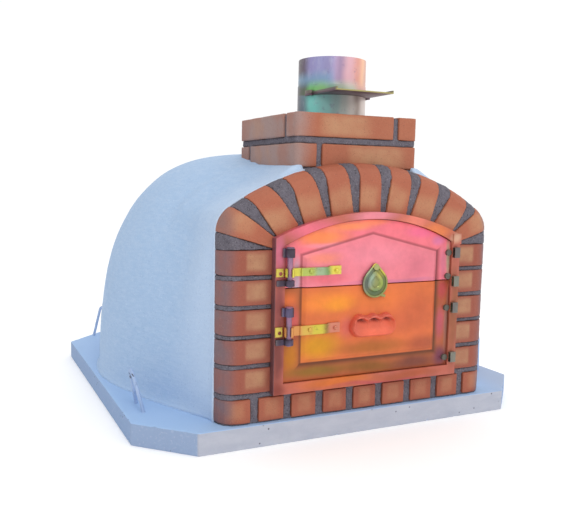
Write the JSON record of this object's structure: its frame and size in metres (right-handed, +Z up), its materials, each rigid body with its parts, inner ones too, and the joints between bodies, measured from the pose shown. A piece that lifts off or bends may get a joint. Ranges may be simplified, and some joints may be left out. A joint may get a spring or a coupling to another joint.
{
  "type": "wood fired pizza oven",
  "caption": "Free-standing wood fired oven: rendered dome behind an arched brick front, stub brick chimney with steel flue and pull-out damper, and a split arched cast door hinged on the left.",
  "frame": {"origin": "centre of the underside of the base slab, the face the oven stands on", "axes": "+X to the right seen from the front, +Y to the back, +Z up"},
  "size_m": [1, 1.026, 0.83],
  "materials": {
    "painted_concrete": "painted, slightly rough",
    "painted_render": "painted, fine trowel texture",
    "painted_bar": "painted over",
    "insulating_bed": "coarse, matt",
    "insulation": "coarse, matt",
    "firebrick": "matt",
    "refractory": "matt",
    "brick": "matt, fired",
    "mortar": "matt, sandy",
    "passivated_steel": "rainbow passivated",
    "tinted_iron": "rainbow passivated",
    "dark_iron": "dark passivated",
    "strap_steel": "yellow passivated",
    "plain_steel": "plain"
  },
  "bodies": {
    "oven": {"base_slab": "painted_concrete", "lifting_loops": "painted_bar", "hearth_insulation": "insulating_bed", "hearth_tiles": "firebrick", "refractory_dome": "refractory", "insulation_layer": "insulation", "render_shell": "painted_render", "bottom_course_bricks": "brick", "left_pillar_bricks": "brick", "right_pillar_bricks": "brick", "arch_bricks": "brick", "front_mortar": "mortar", "chimney_lower_bricks": "brick", "chimney_upper_bricks": "brick", "chimney_mortar": "mortar", "flue_pipe": "passivated_steel", "damper_guides": "passivated_steel", "door_frame": "tinted_iron", "frame_anchors": "plain_steel", "hinge_lugs": "dark_iron", "hinge_plates": "strap_steel", "upper_hinge_pin": "dark_iron", "lower_hinge_pin": "dark_iron", "door_keepers": "dark_iron"},
    "damper": {"damper_plate": "passivated_steel"},
    "lower_leaf": {"lower_door": "tinted_iron", "lower_strap": "strap_steel", "lower_strap_rivets": "strap_steel", "finger_grip": "tinted_iron"},
    "upper_leaf": {"upper_door": "tinted_iron", "upper_strap": "strap_steel", "upper_strap_rivets": "strap_steel", "latch_pivot": "strap_steel"},
    "latch": {"teardrop_latch": "strap_steel"}
  },
  "joints": [
    {"name": "damper_slide", "type": "slide", "parent": "oven", "child": "damper", "axis": [0, -1, 0], "range_m": [-0.05, 0.06]},
    {"name": "lower_leaf_hinge", "type": "hinge", "parent": "oven", "child": "lower_leaf", "pos_m": [-0.204, -0.516, 0.254], "axis": [0, 0, -1], "range_deg": [0, 95]},
    {"name": "upper_leaf_hinge", "type": "hinge", "parent": "lower_leaf", "child": "upper_leaf", "pos_m": [-0.204, -0.516, 0.376], "axis": [0, 0, -1], "range_deg": [0, 80]},
    {"name": "latch_pivot_joint", "type": "hinge", "parent": "upper_leaf", "child": "latch", "pos_m": [0.003, -0.511, 0.369], "axis": [0, 1, 0], "range_deg": [-100, 100]}
  ]
}
